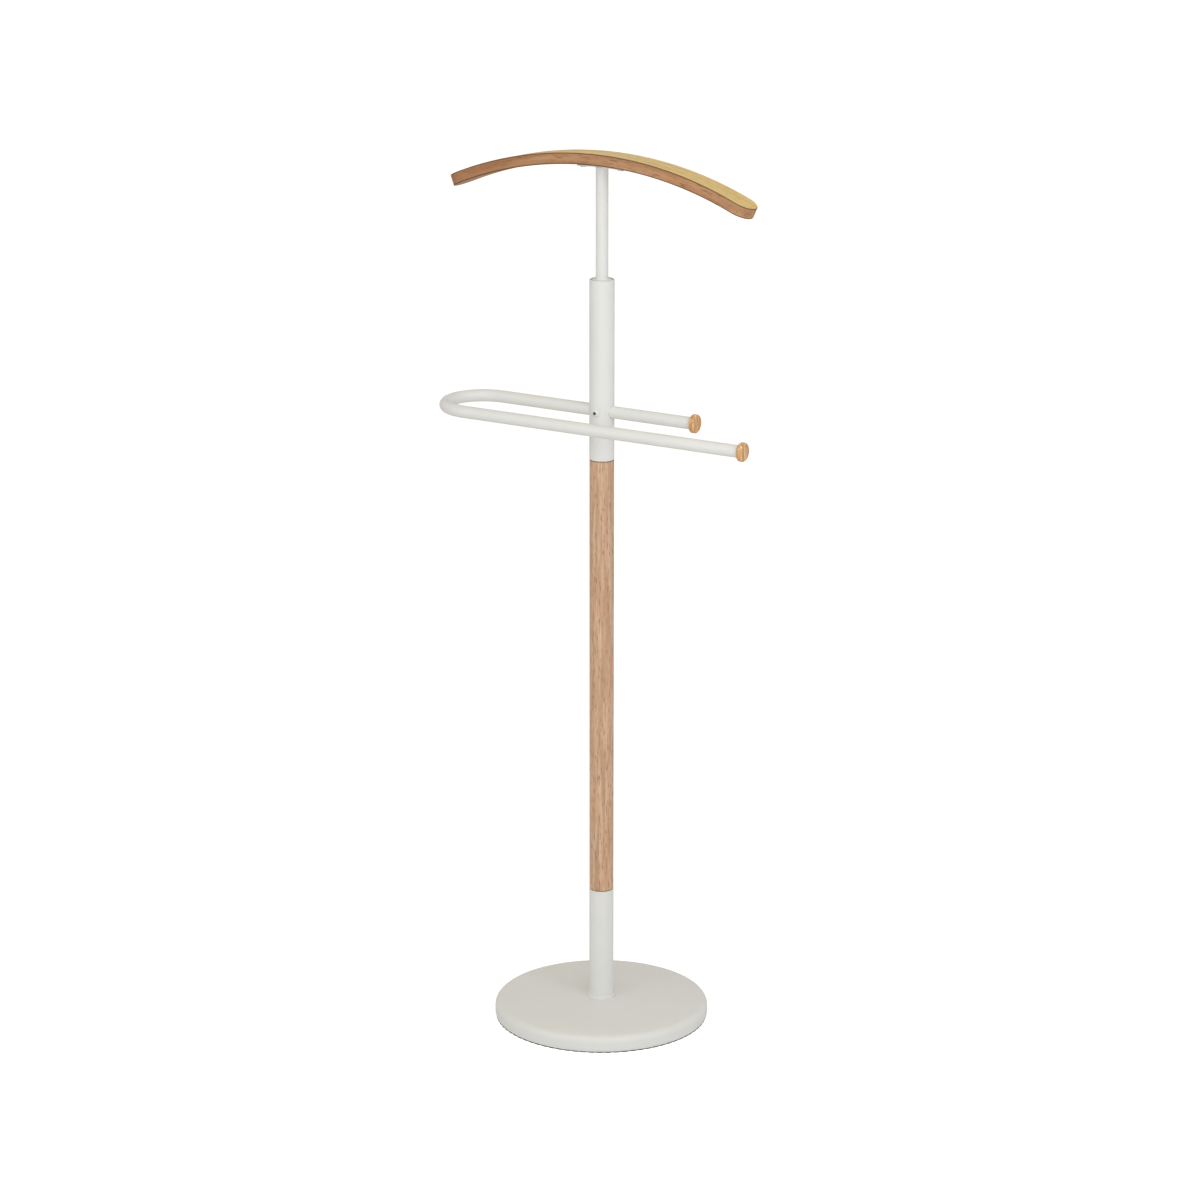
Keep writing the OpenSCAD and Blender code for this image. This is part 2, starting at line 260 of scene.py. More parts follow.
graph, shader = new_finish("powder_white", "powder_coated_steel")
place = add(graph, "TexCoord", {}).outputs["Object"]
cloud = add(graph, "TexNoise", {"Vector": place, "Scale": 1 / (45 * MM), "Detail": 2.0})
tint = add(graph, "MixRGB", {"Fac": cloud.outputs["Fac"],
                             "Color1": linear("#e1e2df"), "Color2": linear("#e7e8e5")})
peel = add(graph, "TexNoise", {"Vector": place, "Scale": 1 / (1.5 * MM), "Detail": 1.0})
relief = add(graph, "Bump", {"Height": peel.outputs["Fac"], "Strength": 0.35,
                             "Distance": 0.02 * MM})
sheen = add(graph, "MapRange", {"Value": cloud.outputs["Fac"], "To Min": 0.40, "To Max": 0.47})
plug(graph, tint.outputs["Color"], shader, "Base Color")
plug(graph, sheen.outputs["Result"], shader, "Roughness")
plug(graph, relief.outputs["Normal"], shader, "Normal")
shader.inputs["IOR"].default_value = 1.5

# %% [markdown]
# ## Wood
# Three kinds of wooden pieces share one way of looking: broad bands where the tree grew at
# different speeds, narrow streaks of fibre, and short dark flecks, which are the rays and pores
# that mark beech. Only the direction of the grain and the tones differ. So `wood` takes a
# coordinate whose third axis runs along the grain and squeezes that axis: a pattern that is
# stretched along the fibre is what makes a surface read as wood. Lacquered wood is a dull
# dielectric, IOR about 1.5, and the open fibre is a little rougher than the lacquer between.

# %% How wood is coloured
def stretched(graph, grain, times):
    """The grain coordinate with its third axis drawn out, so that patterns run with the fibre."""
    return add(graph, "Mapping", {"Vector": grain, "Scale": (1, 1, 1 / times)}).outputs["Vector"]


def wood(graph, grain, pale, dark, warm, fleck, contrast=1.0, band=7):
    """Colour of beech from four tones. Gives the colour, the streaks and the flecks."""
    bands = add(graph, "TexNoise", {"Vector": stretched(graph, grain, 14), "Scale": 1 / (band * MM),
                                    "Detail": 2.0, "Distortion": 0.3})
    streaks = add(graph, "TexNoise", {"Vector": stretched(graph, grain, 30),
                                      "Scale": 1 / (1.9 * MM), "Detail": 3.0, "Roughness": 0.6})
    blush = add(graph, "TexNoise", {"Vector": stretched(graph, grain, 22), "Scale": 1 / (4 * MM),
                                    "Detail": 1.0})
    # real rays are 0.3 mm wide; they are drawn 1.1 mm wide so that they show
    rays = add(graph, "TexNoise", {"Vector": stretched(graph, grain, 11), "Scale": 1 / (1.1 * MM),
                                   "Detail": 1.0})
    half_band = 0.16 / contrast
    growth = add(graph, "MapRange", {"Value": bands.outputs["Fac"], "From Min": 0.5 - half_band,
                                     "From Max": 0.5 + half_band}, interpolation_type="SMOOTHSTEP")
    streak = add(graph, "MapRange", {"Value": streaks.outputs["Fac"], "From Min": 0.34,
                                     "From Max": 0.66, "To Max": 0.55 * contrast})
    flush = add(graph, "MapRange", {"Value": blush.outputs["Fac"], "From Min": 0.5,
                                    "From Max": 0.68, "To Max": 0.75})
    spot = add(graph, "MapRange", {"Value": rays.outputs["Fac"], "From Min": 0.58, "From Max": 0.68,
                                   "To Max": 0.7}, interpolation_type="SMOOTHSTEP")
    broad = add(graph, "MixRGB", {"Fac": growth.outputs["Result"], "Color1": linear(pale),
                                  "Color2": linear(dark)})
    rosy = add(graph, "MixRGB", {"Fac": flush.outputs["Result"], "Color1": broad.outputs["Color"],
                                 "Color2": linear(warm)})
    fibre = add(graph, "MixRGB", {"Fac": streak.outputs["Result"], "Color1": rosy.outputs["Color"],
                                  "Color2": linear(dark)})
    flecked = add(graph, "MixRGB", {"Fac": spot.outputs["Result"], "Color1": fibre.outputs["Color"],
                                    "Color2": linear(fleck)})
    return flecked.outputs["Color"], streaks.outputs["Fac"], spot.outputs["Result"]


def lacquer(graph, shader, colour, streaks, flecks):
    """Satin lacquer over wood: the fibre stands a few microns proud and is a little rougher."""
    relief = add(graph, "Bump", {"Height": streaks, "Strength": 0.3, "Distance": 0.06 * MM})
    rough = add(graph, "MapRange", {"Value": flecks, "To Min": 0.46, "To Max": 0.62})
    plug(graph, colour, shader, "Base Color")
    plug(graph, relief.outputs["Normal"], shader, "Normal")
    plug(graph, rough.outputs["Result"], shader, "Roughness")
    shader.inputs["IOR"].default_value = 1.5


# %% [markdown]
# The pole is turned from a straight blank, so the grain runs up it. The object's own coordinate
# has Z along the pole and needs no turning. The grain is looked up in space, not unrolled over the
# surface, so the bands close up towards the sides as they do on a real round pole. Its last
# millimetre or so at each end is painted dark, as painted shade in the joints with the tubes.

# %% Turned beech of the pole
graph, shader = new_finish("beech_pole", "turned_beech")
place = add(graph, "TexCoord", {}).outputs["Object"]
colour, streaks, flecks = wood(graph, place, pale="#dfc0a1", dark="#c19979", warm="#dcaa88",
                               fleck="#8f6647", contrast=1.2, band=5)
pole_low, pole_high = box_mm("wood_pole")
height = add(graph, "SeparateXYZ", {"Vector": place})
middle = (pole_low.z + pole_high.z) / 2
from_middle = add(graph, "Math", {0: height.outputs["Z"], 1: middle * MM}, operation="SUBTRACT")
either_way = add(graph, "Math", {0: from_middle.outputs["Value"]}, operation="ABSOLUTE")
# painted shade: the pole is coloured dark within about a millimetre of each end, in the joints with
# the tubes
joint_shade = add(graph, "MapRange", {"Value": either_way.outputs["Value"],
                                    "From Min": (pole_high.z - middle - 1.5) * MM,
                                    "From Max": (pole_high.z - middle - 1.0) * MM, "To Max": 0.7})
joint_shaded = add(graph, "MixRGB", {"Fac": joint_shade.outputs["Result"], "Color1": colour,
                               "Color2": linear("#5c3c30")})
lacquer(graph, shader, joint_shaded.outputs["Color"], streaks, flecks)

# %% [markdown]
# The knobs are sliced across a thicker honey-coloured blank, so the grain crosses their axis and
# shows as bold stripes on the face. Up and down is along the grain here as well.

# %% Turned beech of the knobs
graph, shader = new_finish("beech_knob", "turned_honey_beech")
place = add(graph, "TexCoord", {}).outputs["Object"]
lacquer(graph, shader, *wood(graph, place, pale="#fff6cc", dark="#cb9156", warm="#ffcfa0",
                             fleck="#8a5426", contrast=2.4, band=2.8))

# %% [markdown]
# The arm is bent from steamed beech, so its grain follows the curve. The coordinate is rebuilt
# from the bend: distance from the centre of the curve, place across the arm, and length along the
# arc, which is the angle times the radius. The broad top is painted a clear, light yellow and the
# sides a darker red-brown: painted light, the top as if lit warmly from above and the sides in
# shade.
# Towards the left end the sides are a little darker. The eased edges are painted dark brown, as
# painted shade along the edges. The arm also leans back by a few degrees about the top of its rod,
# so the coordinate is first turned upright again.

# %% Centre of the arm's curve
rod_low, rod_high = box_mm("hanger_rod")
rod_radius = 8
arm_radius = 516
arm_thick = 14.6
bracket_thick = 3
arm_lean = radians(3.5)
pivot_z = rod_high.z - rod_radius * tan(arm_lean)
arm_centre_z = pivot_z + bracket_thick + arm_thick - arm_radius
print("arm bends about a point", round(arm_centre_z), "mm above the floor")

# %% Bent beech of the arm
graph, shader = new_finish("beech_arm", "bent_beech")
place = add(graph, "TexCoord", {}).outputs["Object"]
pivot = Vector((0, 0, pivot_z)) * MM
shift = pivot - Vector((0, 0, arm_centre_z)) * MM - Matrix.Rotation(arm_lean, 3, "X") @ pivot
moved = add(graph, "Mapping", {"Vector": place, "Location": shift, "Rotation": (arm_lean, 0, 0)})
axes = add(graph, "SeparateXYZ", {"Vector": moved.outputs["Vector"]})
upright = add(graph, "CombineXYZ", {"X": axes.outputs["X"], "Z": axes.outputs["Z"]})
radius = add(graph, "VectorMath", {0: upright.outputs["Vector"]}, operation="LENGTH")
angle = add(graph, "Math", {0: axes.outputs["X"], 1: axes.outputs["Z"]}, operation="ARCTAN2")
along = add(graph, "Math", {0: angle.outputs["Value"], 1: arm_radius * MM}, operation="MULTIPLY")
grain = add(graph, "CombineXYZ", {"X": radius.outputs["Value"], "Y": axes.outputs["Y"],
                                  "Z": along.outputs["Value"]})
# painted light: a darker wood for the sides, as if in shade, and a lighter, yellower one for the
# top, as if lit warmly from above
side, streaks, flecks = wood(graph, grain.outputs["Vector"], pale="#c2966e", dark="#a97850",
                             warm="#c08a5e", fleck="#85583a")
top, _, _ = wood(graph, grain.outputs["Vector"], pale="#efd88f", dark="#ddb96a",
                 warm="#efcb7c", fleck="#bc9350", contrast=0.8)
# painted light: mask of the top face, which gets the lighter wood
lit_top = add(graph, "MapRange", {"Value": radius.outputs["Value"],
                                   "From Min": (arm_radius - 0.9) * MM,
                                   "From Max": (arm_radius - 0.4) * MM})
# the sides are made a little darker towards the left end of the arm
towards_left_end = add(graph, "MapRange", {"Value": angle.outputs["Value"], "From Min": radians(-2),
                                "From Max": radians(-16)})
darker_to_left = add(graph, "MixRGB", {"Fac": towards_left_end.outputs["Result"], "Color1": side,
                               "Color2": linear("#f0e9de")}, blend_type="MULTIPLY")
lit_top_shaded_sides = add(graph, "MixRGB", {"Fac": lit_top.outputs["Result"],
                                  "Color1": darker_to_left.outputs["Color"], "Color2": top})
# painted shade: the eased edges are coloured dark brown along the arm
edge = add(graph, "Attribute", {}, attribute_name="eased_edge")
edge_shade = add(graph, "Math", {0: edge.outputs["Fac"], 1: 0.9}, operation="MULTIPLY")
edge_shaded = add(graph, "MixRGB", {"Fac": edge_shade.outputs["Value"], "Color1": lit_top_shaded_sides.outputs["Color"],
                              "Color2": linear("#4c2a14")})
lacquer(graph, shader, edge_shaded.outputs["Color"], streaks, flecks)

# %% [markdown]
# ## Small metal, rubber and nylon
# Screws, studs and plugs are steel with a thin bright zinc plating: a metal, so it keeps the
# default IOR and takes its look from colour and roughness. The plating bath leaves faint cloudy
# patches. The pole's inserts have a yellow passivation instead, and the weight is raw grey iron,
# rough from the sand of its mould, with grains of about half a millimetre.

# %% Metals
def metal(slot, name, low, high, patch, roughness, grain, depth):
    """A bare or plated metal: two close tones in patches, and a fine relief. Sizes in mm."""
    graph, shader = new_finish(slot, name)
    place = add(graph, "TexCoord", {}).outputs["Object"]
    patches = add(graph, "TexNoise", {"Vector": place, "Scale": 1 / (patch * MM), "Detail": 3.0})
    tint = add(graph, "MixRGB", {"Fac": patches.outputs["Fac"], "Color1": linear(low),
                                 "Color2": linear(high)})
    rough = add(graph, "MapRange", {"Value": patches.outputs["Fac"], "To Min": roughness - 0.06,
                                    "To Max": roughness + 0.06})
    grit = add(graph, "TexNoise", {"Vector": place, "Scale": 1 / (grain * MM), "Detail": 2.0})
    relief = add(graph, "Bump", {"Height": grit.outputs["Fac"], "Strength": 0.5,
                                 "Distance": depth * MM})
    plug(graph, tint.outputs["Color"], shader, "Base Color")
    plug(graph, rough.outputs["Result"], shader, "Roughness")
    plug(graph, relief.outputs["Normal"], shader, "Normal")
    shader.inputs["Metallic"].default_value = 1.0


# bare steel of the hex socket, coloured much darker than steel as painted shade in the socket
metal("socket", "bare_steel_with_socket_shade", "#74777c", "#888b90", 2, 0.42, 0.3, 0.004)
metal("zinc_steel", "zinc_plated_steel", "#c9ced4", "#dde0e4", 4, 0.30, 0.3, 0.004)
metal("brass_insert", "yellow_zinc_plated_steel", "#c7a964", "#d9c08a", 4, 0.34, 0.3, 0.004)
metal("cast_iron", "sand_cast_iron", "#4c4e50", "#626466", 9, 0.66, 0.6, 0.12)

# %% [markdown]
# The anti-slip ring is moulded rubber, nearly black and quite dull. The collar and the bush are
# injection-moulded nylon, milky white and softly shiny. Both take the fine spark texture of their
# moulds, a few hundredths of a millimetre deep.

# %% Rubber and nylon
def moulded(slot, name, low, high, roughness, ior, spark, depth):
    """A moulded material in two close tones with a spark-eroded texture. Sizes in millimetres."""
    graph, shader = new_finish(slot, name)
    place = add(graph, "TexCoord", {}).outputs["Object"]
    texture = add(graph, "TexNoise", {"Vector": place, "Scale": 1 / (spark * MM), "Detail": 2.0})
    tint = add(graph, "MixRGB", {"Fac": texture.outputs["Fac"], "Color1": linear(low),
                                 "Color2": linear(high)})
    relief = add(graph, "Bump", {"Height": texture.outputs["Fac"], "Strength": 0.4,
                                 "Distance": depth * MM})
    plug(graph, tint.outputs["Color"], shader, "Base Color")
    plug(graph, relief.outputs["Normal"], shader, "Normal")
    shader.inputs["Roughness"].default_value = roughness
    shader.inputs["IOR"].default_value = ior


moulded("rubber_black", "moulded_rubber", "#1b1b1d", "#2a2a2c", 0.78, 1.52, 0.8, 0.05)
moulded("nylon_white", "moulded_nylon", "#e3e3de", "#e9e9e5", 0.46, 1.53, 0.5, 0.02)

# %% [markdown]
# ## Shaping tools
# Nearly every piece of the stand is round, so most are turned on a lathe: an outline is spun about
# an axis. Others are bent tubes or bent plates. All of them are rows of points with quads between
# the rows, so one function, `skin`, makes every mesh, and the others only say where the rows lie.

# %% Skin between rows of points
def skin(name, rows, close_rows, close_points, caps=()):
    """A mesh with quads between rows of points in millimetres. Points that meet are merged."""
    form = bmesh.new()
    grid = [[form.verts.new(Vector(p) * MM) for p in row] for row in rows]
    count = len(rows[0])
    for i in range(len(rows) if close_rows else len(rows) - 1):
        here, there = grid[i], grid[(i + 1) % len(rows)]
        for k in range(count if close_points else count - 1):
            n = (k + 1) % count
            form.faces.new((here[k], here[n], there[n], there[k]))
    for row, faces in caps:
        for face in faces:
            form.faces.new([grid[row][k] for k in face])
    bmesh.ops.remove_doubles(form, verts=form.verts, dist=0.001 * MM)
    bmesh.ops.recalc_face_normals(form, faces=form.faces)
    mesh = bpy.data.meshes.new(name)
    form.to_mesh(mesh)
    form.free()
    piece = bpy.data.objects.new(name, mesh)
    bpy.context.scene.collection.objects.link(piece)
    return piece


# %% [markdown]
# No real edge is perfectly sharp: sheet is cut and deburred, wood is sanded, plastic fills a mould
# with rounded corners. Those small radii catch the light and draw the thin bright lines that a
# plain cylinder lacks. `rounded` takes the corners of an outline, each with its own radius, and
# puts an arc at each.

# %% Outlines with rounded corners
def arc(centre, radius, start, end, steps):
    """Points on an arc between two angles in degrees."""
    angles = [radians(start + (end - start) * i / steps) for i in range(steps + 1)]
    return [(centre[0] + radius * cos(a), centre[1] + radius * sin(a)) for a in angles]


def rounded(corners):
    """A closed outline from corners (x, y, radius), with an arc in place of each corner."""
    points = []
    for i, (x, y, radius) in enumerate(corners):
        if radius == 0:
            points.append((x, y))
            continue
        here = Vector((x, y))
        before = (Vector(corners[i - 1][:2]) - here).normalized()
        after = (Vector(corners[(i + 1) % len(corners)][:2]) - here).normalized()
        half = before.angle(after) / 2
        centre = here + (before + after).normalized() * radius / sin(half)
        first = here + before * radius / tan(half) - centre
        left_turn = 1 if before.x * after.y - before.y * after.x < 0 else -1
        start = degrees(atan2(first.y, first.x))
        sweep = left_turn * (180 - 2 * degrees(half))
        points += arc(centre, radius, start, start + sweep, max(2, ceil(abs(sweep) / 15)))
    return points


# %% Lathe and drill
def lathe(name, outline, steps=128, place=Matrix()):
    """Spins a closed outline of (radius, height) points, or a function that gives one per step."""
    rows = []
    for i in range(steps):
        a = 2 * pi * i / steps
        section = outline(i) if callable(outline) else outline
        rows.append([(r * cos(a), r * sin(a), h) for r, h in section])
    piece = skin(name, rows, close_rows=True, close_points=True)
    piece.data.transform(Matrix.Scale(MM, 4) @ place @ Matrix.Scale(1 / MM, 4))
    return piece


def drill(piece, start, direction, radius, depth, sides=64):
    """Cuts a straight hole with an exact boolean. A hole of six sides is a hex socket."""
    direction = Vector(direction).normalized()
    form = bmesh.new()
    bmesh.ops.create_cone(form, cap_ends=True, segments=sides, radius1=radius * MM,
                          radius2=radius * MM, depth=depth * MM)
    turned = direction.to_track_quat("Z", "Y").to_matrix().to_4x4()
    form.transform(Matrix.Translation((Vector(start) + direction * depth / 2) * MM) @ turned)
    mesh = bpy.data.meshes.new("cutter")
    form.to_mesh(mesh)
    form.free()
    cutter = bpy.data.objects.new("cutter", mesh)
    bpy.context.scene.collection.objects.link(cutter)
    cut = piece.modifiers.new("hole", "BOOLEAN")
    cut.operation, cut.solver, cut.object = "DIFFERENCE", "EXACT", cutter
    result = piece.evaluated_get(bpy.context.evaluated_depsgraph_get())
    drilled = bpy.data.meshes.new_from_object(result)
    piece.modifiers.clear()
    piece.data = drilled
    bpy.data.objects.remove(cutter)


# %% [markdown]
# A finished piece needs four things: smooth shading that breaks at true edges, normals weighted by
# area so that flat faces stay flat beside their small radii, its material, and the name of the CAD
# node that it stands for, whose body it then rides on.

# %% Dress a piece
def dress(piece, slot, node):
    """Shades the piece, gives it the finish of a slot and puts it in place of a CAD node."""
    piece.data.materials.clear()
    piece.data.materials.append(finishes[slot])
    piece.data.shade_smooth()
    piece.data.set_sharp_from_angle(angle=radians(35))
    even = piece.modifiers.new("even_shading", "WEIGHTED_NORMAL")
    even.keep_sharp = True
    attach(piece, frame["nodes"][node]["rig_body"])
    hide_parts(node)
    print(piece.name, "stands for", node, "with", len(piece.data.polygons), "faces")


# %% [markdown]
# ## Base
# The base is a disc of sheet steel, 1.2 mm thick, deep-drawn over a form: an upright side, a tight
# bend, a soft shoulder, and a top that rises slightly to the column so that it stays stiff. Two
# tangent arcs give the side and shoulder. The same line is drawn twice, once inside the other, so
# that the cover is a real shell with a rounded edge at its foot.

# %% Pressed cover
sheet = 1.2
shoulder_inset = 30
rim_bend = 9.5
rim_height = 13
foot_height = 4.6
foot_inset = 1.1
seat_radius = 20
seat_rise = 0.8
bolt_clearance = 4.4

base_radius = base_high.x
shoulder_radius = base_radius - shoulder_inset
shoulder_height = base_high.z - seat_rise
bend_centre = (base_radius - rim_bend, rim_height)
run = bend_centre[0] - shoulder_radius
drop = shoulder_height - rim_height
sweep_radius = (run ** 2 + drop ** 2 - rim_bend ** 2) / (2 * (drop - rim_bend))
sweep_centre = (shoulder_radius, shoulder_height - sweep_radius)
join = degrees(atan2(bend_centre[1] - sweep_centre[1], bend_centre[0] - sweep_centre[0]))


def cover_line(inside):
    """The cover's section from its foot to the seat of the column, that far inside its skin."""
    return [
        (base_radius - inside, foot_height),
        *arc(bend_centre, rim_bend - inside, 0, join, 12),
        *arc(sweep_centre, sweep_radius - inside, join, 90, 14)[1:],
        (seat_radius, base_high.z - inside),
        (bolt_clearance, base_high.z - inside),
    ]


foot_radius = base_radius - foot_inset
foot = arc((foot_radius - sheet / 2, base_low.z + sheet / 2), sheet / 2, 180, 360, 6)
cover = lathe("pressed_cover", foot + cover_line(0) + cover_line(sheet)[::-1], steps=192)
dress(cover, "powder_white", "base_cover")

# %% [markdown]
# Under the cover sits a cast-iron disc that keeps the tall stand from tipping. Castings have
# generous radii and a draft, so that they leave the sand. Below it a rubber ring grips the floor.
# Its outer edge is scored with shallow notches, and its underside has three round grooves.

# %% Cast weight
weight_low, weight_high = box_mm("base_weight")
hub_radius = 30
disc_top = 13
recess_radius = 13.5
recess_top = 10.5
bolt_hole = 4.3
weight = lathe("cast_weight", rounded([
    (bolt_hole, weight_high.z, 0.5), (hub_radius - 0.6, weight_high.z, 1.5),
    (hub_radius, disc_top, 5), (weight_high.x, disc_top, 3), (weight_high.x, weight_low.z, 1),
    (recess_radius, weight_low.z, 1), (recess_radius - 0.4, recess_top, 1),
    (bolt_hole, recess_top, 0.5)]), steps=160)
dress(weight, "cast_iron", "base_weight")

# %% Anti-slip ring
ring_high = box_mm("anti_slip_ring")[1]
ring_inner = base_radius - 40
notch_depth = 0.9
groove_radii = (108, 119, 130)
groove_depth = 0.5


def ring_outline(step):
    """Section of the ring. Two steps in every six are cut back to make a notch."""
    outer = ring_high.x - (notch_depth if step % 6 < 2 else 0)
    grooves = []
    for centre in groove_radii:
        grooves += [(centre - 1.5, 0, 0), (centre - 1, groove_depth, 0),
                    (centre + 1, groove_depth, 0), (centre + 1.5, 0, 0)]
    return rounded([(ring_inner, 0, 0.2), *grooves, (outer, 0, 0.2), (outer, ring_high.z, 0.2),
                    (ring_inner, ring_high.z, 0.2)])


ring = lathe("notched_ring", ring_outline, steps=480)
dress(ring, "rubber_black", "anti_slip_ring")

# %% [markdown]
# A thin moulded collar hides the joint between the column and the base. Its upper lip is rolled
# over, which draws the small bright ring at the foot of the tube.

# %% Collar
collar_low, collar_high = box_mm("foot_collar")
column_radius = tube_high.x
lip = 0.9
collar = lathe("moulded_collar", rounded([
    (column_radius + 0.05, collar_low.z, 0), (collar_high.x, collar_low.z, 0.3),
    (collar_high.x, collar_high.z, lip), (column_radius + 0.05, collar_high.z, 0.3)]), steps=192)
dress(collar, "nylon_white", "foot_collar")

# %% [markdown]
# ## Column
# Two steel tubes and a wooden pole stand end to end. The tubes are cut square and deburred, then
# painted, which leaves a small radius on each end. The pole is a hair thinner and its ends are
# eased, so a fine dark line shows at each joint, deepened by painted shade on the pole's ends. The
# pole's ends are bored in two steps: wide for the threaded insert, then narrower for the tip of the
# stud.

# %% Tubes and pole
wall = 1.5
bore = column_radius - wall


def tube_outline(inner, outer, low, high, ease):
    """Section of a tube with the same small radius on all four of its edges."""
    return rounded([(inner, low, ease), (outer, low, ease),
                    (outer, high, ease), (inner, high, ease)])


lower_low, lower_high = box_mm("lower_tube")
lower = lathe("lower_column", tube_outline(bore, column_radius, lower_low.z, lower_high.z, 0.5))
dress(lower, "powder_white", "lower_tube")

insert_radius, insert_depth = 6.05, 22.05
tip_radius, tip_depth = 4.3, 35
pole_ease = 1.2
pole = lathe("turned_pole", rounded([
    (0, pole_low.z + tip_depth, 0), (tip_radius, pole_low.z + tip_depth, 0),
    (tip_radius, pole_low.z + insert_depth, 0), (insert_radius, pole_low.z + insert_depth, 0),
    (insert_radius, pole_low.z, 0.4), (pole_high.x, pole_low.z, pole_ease),
    (pole_high.x, pole_high.z, pole_ease), (insert_radius, pole_high.z, 0.4),
    (insert_radius, pole_high.z - insert_depth, 0), (tip_radius, pole_high.z - insert_depth, 0),
    (tip_radius, pole_high.z - tip_depth, 0), (0, pole_high.z - tip_depth, 0)]))
dress(pole, "beech_pole", "wood_pole")

# %% [markdown]
# The upper tube is cross-drilled: the trouser bar slides through both walls, and a screw from the
# front holds it. An exact boolean makes true holes, which show as thin rings round the bar.

# %% Upper tube
bar_low, bar_high = box_mm("trouser_bar")
bar_radius = (bar_high.z - bar_low.z) / 2
bar_z = (bar_high.z + bar_low.z) / 2
slip = 0.15
screw_hole = 3.2
upper = lathe("upper_column", tube_outline(bore, column_radius, tube_low.z, tube_high.z, 0.55))
drill(upper, (-2 * column_radius, 0, bar_z), (1, 0, 0), bar_radius + slip, 4 * column_radius)
drill(upper, (0, 0, bar_z), (0, -1, 0), screw_hole, 2 * column_radius)
dress(upper, "powder_white", "upper_tube")

# %% [markdown]
# ## Trouser bar
# The bar is one tube bent into a hairpin. Its path is two straight legs and a half circle, all at
# one height, so each row of points is a circle that stands upright across the path. Rows run out
# along the outer skin and come back along the inner one, which makes the tube hollow.

# %% Bent bar
bar_wall = 1.2
nut_hole = 4.45
leg_gap = bar_high.y - bar_low.y - 2 * bar_radius
bend_radius = leg_gap / 2
bend_x = bar_low.x + bar_radius + bend_radius
back_end = box_mm("knob_back")[0].x

stations = [(back_end, 0, 180), (back_end / 2, 0, 180)]
for i in range(37):
    heading = 180 + 5 * i
    stations.append((bend_x - bend_radius * sin(radians(5 * i)),
                     bend_radius * (cos(radians(5 * i)) - 1), heading))
stations += [(0, -leg_gap, 360), (bar_high.x, -leg_gap, 360)]


def bar_row(station, radius):
    """A circle of points across the bar's path."""
    x, y, heading = station
    sideways = Vector((sin(radians(heading)), -cos(radians(heading)), 0))
    return [Vector((x, y, bar_z)) + sideways * radius * cos(a) + Vector((0, 0, radius * sin(a)))
            for a in (2 * pi * k / 48 for k in range(48))]


outside = [bar_row(s, bar_radius) for s in stations]
inside = [bar_row(s, bar_radius - bar_wall) for s in reversed(stations)]
bar = skin("hairpin_bar", outside + inside, close_rows=True, close_points=True)
drill(bar, (0, 0, bar_z), (0, -1, 0), nut_hole, 2 * bar_radius)
dress(bar, "powder_white", "trouser_bar")

# %% [markdown]
# The screw is powder-coated like the tube and has a low domed head with a hexagon socket, whose
# walls the powder did not reach; that bare steel is coloured much darker than steel, as painted
# shade deep in the socket. The dome is part of a sphere: its radius follows from the head's width
# and height. The lathe turns about Z, and a quarter turn about X then points the head to the front.

# %% Button-head screw
screw_low, screw_high = box_mm("bar_screw")
head_radius = screw_high.x
head_top = -screw_low.y
head_height = 3.1
head_foot = head_top - head_height
head_rim = 0.5
thread_radius = 3
tip = -screw_high.y
dome_height = head_height - head_rim
dome_radius = (head_radius ** 2 + dome_height ** 2) / (2 * dome_height)
dome_start = degrees(asin((dome_radius - dome_height) / dome_radius))
to_front = Matrix.Translation((0, 0, bar_z)) @ Matrix.Rotation(radians(90), 4, "X")
screw = lathe("button_screw", [
    (0, tip), (thread_radius - 0.6, tip), (thread_radius, tip + 0.6), (thread_radius, head_foot),
    (head_radius - 0.2, head_foot), (head_radius, head_foot + 0.2),
    *arc((0, head_top - dome_radius), dome_radius, dome_start, 90, 10)], steps=72, place=to_front)
socket_radius, socket_depth = 2.31, 1.9
drill(screw, (0, -head_top - 1, bar_z), (0, 1, 0), socket_radius, socket_depth + 1, sides=6)
dress(screw, "powder_white", "bar_screw")
# painted shade: the socket's faces get the dark bare steel
screw.data.materials.append(finishes["socket"])
for face in screw.data.polygons:
    x, y, z = face.center / MM
    if -head_top + 0.05 < y < -head_foot and x ** 2 + (z - bar_z) ** 2 < (0.9 * socket_radius) ** 2:
        face.material_index = 1

# %% [markdown]
# Both ends of the bar are closed by small turned discs with a generous round on both edges and a
# face that is crowned by a fraction of a millimetre, as a hand-sanded face always is.

# %% Knobs
knob_round = 2.4
crown = 0.35
hole_radius, hole_depth = 2.6, 6
for side in ("back", "front"):
    low, high = box_mm("knob_" + side)
    thick = high.x - low.x
    knob_radius = (high.z - low.z) / 2
    to_right = (Matrix.Translation((low.x, (low.y + high.y) / 2, bar_z))
                @ Matrix.Rotation(radians(90), 4, "Y"))
    face_edge = knob_radius - knob_round
    knob = lathe("turned_knob_" + side, [
        (hole_radius, hole_depth), (hole_radius, 0),
        *arc((face_edge, knob_round), knob_round, -90, 0, 8),
        *arc((face_edge, thick - crown - knob_round), knob_round, 0, 84, 8),
        (face_edge / 2, thick - crown / 4), (0, thick), (0, hole_depth)], steps=96, place=to_right)
    dress(knob, "beech_knob", "knob_" + side)

# %% [markdown]
# ## Swivel
# The hanger turns on its rod in a nylon bush that is pressed into the top of the column, just below
# the mouth. A painted ring on the rod lies in the mouth and carries the weight on the bush, and a
# clip below keeps the rod from being pulled out.

# %% Bush, rod and ring
bush_low, bush_high = box_mm("top_bush")
thrust_low, thrust_high = box_mm("rod_thrust_ring")
clip_low, clip_high = box_mm("rod_clip")
rod_wall = 1.5
running_gap = 0.06
bush = lathe("moulded_bush", rounded([
    (rod_radius + running_gap, bush_low.z, 0.8), (bush_high.x, bush_low.z, 1),
    (bush_high.x, bush_high.z, 0.4), (rod_radius + running_gap, bush_high.z, 0.8)]))
dress(bush, "nylon_white", "top_bush")

